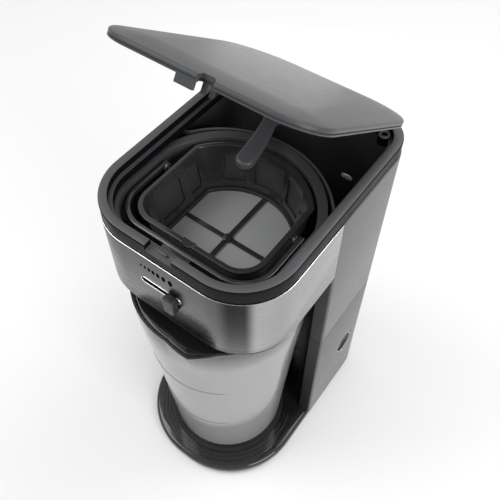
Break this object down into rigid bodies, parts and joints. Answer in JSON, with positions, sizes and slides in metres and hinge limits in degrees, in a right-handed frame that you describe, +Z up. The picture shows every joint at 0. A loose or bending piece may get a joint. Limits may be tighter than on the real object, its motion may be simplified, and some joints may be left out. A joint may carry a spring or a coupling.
{
  "type": "drip coffee maker",
  "caption": "Top-loading drip coffee maker: hinged lid, swivel water spout, lift-out filter basket with bail, brew-strength slider, rear reservoir and tall clear pitcher.",
  "frame": {"origin": "on the floor under the middle of the machine's footprint (base front to lid back, body left to right)", "axes": "+Z up; -Y is the front, where the pitcher stands and the slider is; +X is the viewer's right, the side with the power switch"},
  "size_m": [0.1709, 0.2396, 0.4922],
  "materials": {
    "base_pan": "gloss black",
    "bottom_cover": "matte black",
    "pitcher_seat": "dark rubber pad",
    "column_front": "gloss black",
    "column_trim_left": "matte dark grey",
    "column_trim_right": "matte dark grey",
    "lower_shell": "satin silver grey",
    "upper_shell": "satin silver grey",
    "reservoir": "satin black",
    "steel_band": "brushed stainless steel",
    "head_shell": "satin black",
    "brew_chamber": "satin black",
    "top_rim": "satin dark grey",
    "riser_post": "satin black",
    "spout_arm": "satin dark grey",
    "shower_nozzle": "satin black",
    "filter_basket": "semi-gloss black",
    "basket_mesh": "fine grey nylon mesh",
    "basket_pin_left": "polished steel",
    "basket_pin_right": "polished steel",
    "basket_handle": "semi-gloss black",
    "lid": "satin mid grey",
    "lid_liner": "satin black",
    "hinge_pin_left": "polished steel",
    "hinge_pin_right": "polished steel",
    "strength_knob": "semi-gloss black",
    "strength_shutter": "matte black",
    "switch_bezel": "gloss black",
    "switch_rocker": "gloss black",
    "switch_body": "matte black",
    "cord_inlet": "black rubber bush",
    "drip_valve": "matte black",
    "valve_spring": "spring steel",
    "heater_block": "cast aluminium",
    "heater_bracket": "bent sheet",
    "inlet_hose": "translucent silicone",
    "riser_hose": "translucent silicone",
    "check_valve": "cream plastic",
    "thermostat": "cream ceramic",
    "thermal_fuse": "white sleeve",
    "pitcher": "clear, slightly smoky plastic",
    "pitcher_lid": "gloss black",
    "pitcher_seal": "translucent silicone",
    "foot_front_left": "black rubber",
    "screw_front_left": "zinc-plated steel",
    "foot_front_right": "black rubber",
    "screw_front_right": "zinc-plated steel",
    "foot_rear_left": "black rubber",
    "screw_rear_left": "zinc-plated steel",
    "foot_rear_right": "black rubber",
    "screw_rear_right": "zinc-plated steel"
  },
  "bodies": {
    "machine": {"base_pan": "base_pan", "bottom_cover": "bottom_cover", "pitcher_seat": "pitcher_seat", "column_front": "column_front", "column_trim_left": "column_trim_left", "column_trim_right": "column_trim_right", "lower_shell": "lower_shell", "upper_shell": "upper_shell", "reservoir": "reservoir", "steel_band": "steel_band", "head_shell": "head_shell", "brew_chamber": "brew_chamber", "top_rim": "top_rim", "riser_post": "riser_post", "hinge_pin_left": "hinge_pin_left", "hinge_pin_right": "hinge_pin_right", "switch_bezel": "switch_bezel", "switch_body": "switch_body", "cord_inlet": "cord_inlet", "heater_block": "heater_block", "heater_bracket": "heater_bracket", "inlet_hose": "inlet_hose", "riser_hose": "riser_hose", "check_valve": "check_valve", "thermostat": "thermostat", "thermal_fuse": "thermal_fuse", "foot_front_left": "foot_front_left", "screw_front_left": "screw_front_left", "foot_front_right": "foot_front_right", "screw_front_right": "screw_front_right", "foot_rear_left": "foot_rear_left", "screw_rear_left": "screw_rear_left", "foot_rear_right": "foot_rear_right", "screw_rear_right": "screw_rear_right"},
    "lid": {"lid": "lid", "lid_liner": "lid_liner"},
    "spout": {"spout_arm": "spout_arm", "shower_nozzle": "shower_nozzle"},
    "basket": {"filter_basket": "filter_basket", "basket_mesh": "basket_mesh", "basket_pin_left": "basket_pin_left", "basket_pin_right": "basket_pin_right"},
    "bail": {"basket_handle": "basket_handle"},
    "slider": {"strength_knob": "strength_knob", "strength_shutter": "strength_shutter"},
    "rocker": {"switch_rocker": "switch_rocker"},
    "stopper": {"drip_valve": "drip_valve", "valve_spring": "valve_spring"},
    "jug": {"pitcher": "pitcher"},
    "jug_lid": {"pitcher_lid": "pitcher_lid", "pitcher_seal": "pitcher_seal"}
  },
  "joints": [
    {"name": "lid_hinge", "type": "hinge", "parent": "machine", "child": "lid", "pos_m": [0, 0.112, 0.3618], "axis": [-1, 0, 0], "range_deg": [-34.4, 60]},
    {"name": "spout_swivel", "type": "hinge", "parent": "machine", "child": "spout", "pos_m": [-0.022, 0.066, 0.3635], "axis": [0, 0, 1], "range_deg": [0, 75]},
    {"name": "basket_lift", "type": "slide", "parent": "machine", "child": "basket", "axis": [0, 0, 1], "range_m": [0, 0.007]},
    {"name": "bail_hinge", "type": "hinge", "parent": "basket", "child": "bail", "pos_m": [0, -0.024, 0.3515], "axis": [-1, 0, 0], "range_deg": [0, 95]},
    {"name": "strength_slide", "type": "slide", "parent": "machine", "child": "slider", "axis": [1, 0, 0], "range_m": [-0.026, 0]},
    {"name": "power_rocker", "type": "hinge", "parent": "machine", "child": "rocker", "pos_m": [0.081, 0.0635, 0.088], "axis": [0, -1, 0], "range_deg": [0, 14]},
    {"name": "drip_stop", "type": "slide", "parent": "machine", "child": "stopper", "axis": [0, 0, 1], "range_m": [0, 0.0035], "stiffness_N_per_m": 300, "springref_m": -0.002, "deforming": ["valve_spring"]},
    {"name": "pitcher_slide", "type": "slide", "parent": "machine", "child": "jug", "axis": [0, -1, 0], "range_m": [0, 0.16]},
    {"name": "pitcher_lid_lift", "type": "slide", "parent": "jug", "child": "jug_lid", "axis": [0, 0, 1], "range_m": [0, 0.008]}
  ]
}
